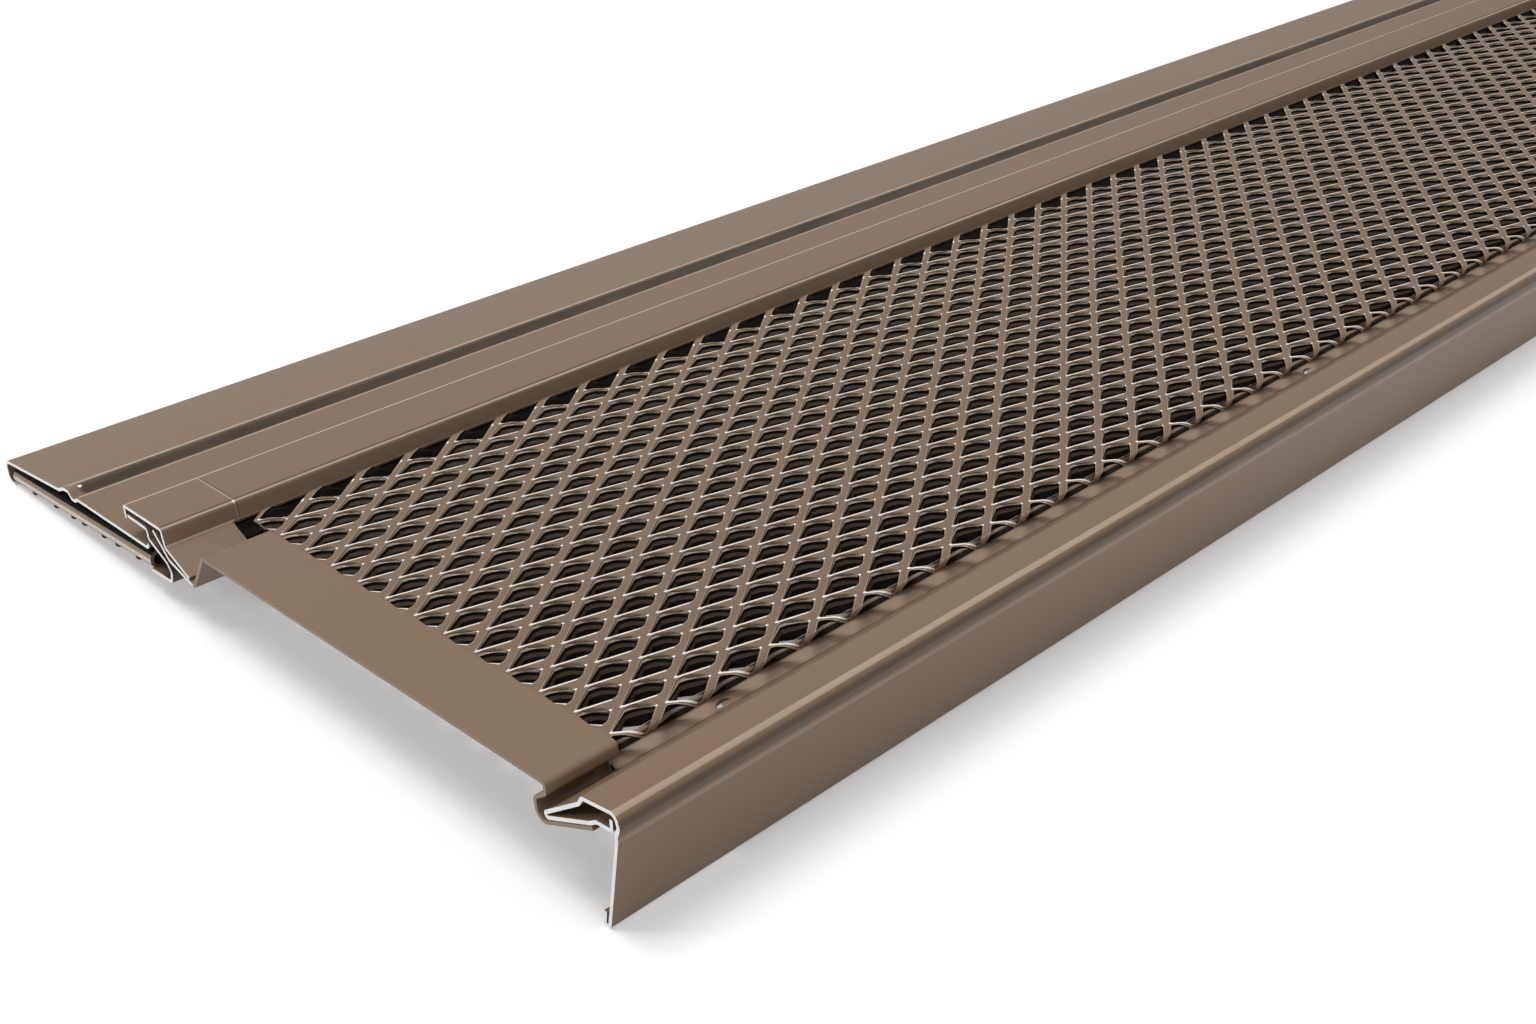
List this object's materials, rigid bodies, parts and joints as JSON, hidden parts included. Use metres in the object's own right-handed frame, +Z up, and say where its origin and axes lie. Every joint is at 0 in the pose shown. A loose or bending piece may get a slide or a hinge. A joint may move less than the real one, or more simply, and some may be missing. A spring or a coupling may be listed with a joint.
{
  "type": "gutter guard",
  "caption": "Eaves gutter guard: a raised expanded-metal screen between a folded front nose with a skirt and a flat rear flange.",
  "frame": {"origin": "centre of the guard's footprint, at the level floor that it rests on", "axes": "+X along the guard, +Y to the rear where the flange goes under the roof edge, +Z up; the skirt faces -Y"},
  "size_m": [0.9144, 0.1784, 0.02],
  "materials": {
    "nose_strip": "satin",
    "screen_strip": "satin",
    "rail_strip": "satin",
    "flange_strip": "satin",
    "mesh_strands": "satin"
  },
  "bodies": {
    "root": {"front_nose": "nose_strip", "screen_frame": "screen_strip", "rear_rail": "rail_strip", "rear_flange": "flange_strip", "mesh_bay_1": "mesh_strands", "mesh_bay_2": "mesh_strands", "mesh_bay_3": "mesh_strands", "mesh_bay_4": "mesh_strands", "mesh_bay_5": "mesh_strands", "mesh_bay_6": "mesh_strands", "mesh_bay_7": "mesh_strands", "mesh_bay_8": "mesh_strands", "mesh_bay_9": "mesh_strands", "mesh_bay_10": "mesh_strands"}
  },
  "joints": []
}
